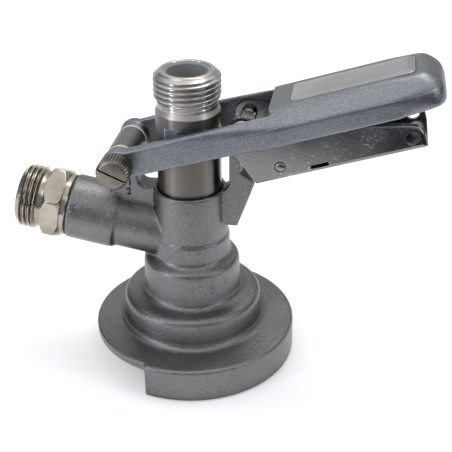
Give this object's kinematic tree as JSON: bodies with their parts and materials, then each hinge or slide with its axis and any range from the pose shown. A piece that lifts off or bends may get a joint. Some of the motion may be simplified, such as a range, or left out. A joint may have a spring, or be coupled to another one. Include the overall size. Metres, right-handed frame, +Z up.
{
  "type": "keg coupler",
  "caption": "Slide-on keg coupler: slotted cast body with a threaded gas branch, fork lever with a sprung trigger latch, and a threaded probe that the lever drives down.",
  "frame": {"origin": "centre of the probe's axis at the body's base face", "axes": "+Z up along the probe towards the outlet thread, +X along the lever handle, the gas branch towards -X"},
  "size_m": [0.1485, 0.0752, 0.1159],
  "materials": {
    "cast_stainless": "bead-blasted investment-cast stainless steel",
    "chromed_zinc": "satin-chromed zinc die casting",
    "turned_stainless": "turned and polished stainless steel",
    "nickel_brass": "nickel-plated brass",
    "sheet_stainless": "polished sheet stainless steel",
    "spring_steel": "drawn stainless spring wire",
    "black_rubber": "black nitrile rubber",
    "grey_liner": "dark grey moulded plastic",
    "white_nylon": "natural nylon",
    "label_resin": "domed silver-grey resin label, bare"
  },
  "bodies": {
    "base": {"body_casting": "cast_stainless", "keg_seal": "black_rubber", "pivot_bushes": "white_nylon", "gas_nipple": "nickel_brass", "gas_nipple_seal": "black_rubber", "gas_lip_valve": "black_rubber", "gas_valve_ring": "white_nylon"},
    "lever": {"lever_casting": "chromed_zinc", "label_plate": "label_resin", "pivot_screw": "nickel_brass", "trigger_pins": "sheet_stainless", "trigger_spring": "spring_steel"},
    "trigger": {"trigger_channel": "sheet_stainless", "catch_block": "turned_stainless", "catch_rivet": "sheet_stainless"},
    "probe": {"probe_tube": "turned_stainless", "probe_liner": "grey_liner", "probe_oring": "black_rubber", "probe_foot_seal": "black_rubber", "probe_guide_ring": "white_nylon", "ball_cage": "white_nylon"},
    "ball": {"check_ball": "turned_stainless"}
  },
  "joints": [
    {"name": "lever_pivot", "type": "hinge", "parent": "base", "child": "lever", "pos_m": [-0.0221, 0, 0.079], "axis": [0, 1, 0], "range_deg": [0, 30]},
    {"name": "probe_slide", "type": "slide", "parent": "base", "child": "probe", "axis": [0, 0, -1], "range_m": [0, 0.012]},
    {"name": "trigger_hinge", "type": "hinge", "parent": "lever", "child": "trigger", "pos_m": [0.01946, 0, 0.09019], "axis": [0, 1, 0], "range_deg": [-12, 4], "stiffness_Nm_per_rad": 2, "deforming": ["trigger_spring"]},
    {"name": "ball_lift", "type": "slide", "parent": "probe", "child": "ball", "axis": [0, 0, 1], "range_m": [0, 0.004]}
  ],
  "couplings": [
    {"joint": "probe_slide", "follows": "lever_pivot", "m_per_rad": 0.02288}
  ]
}
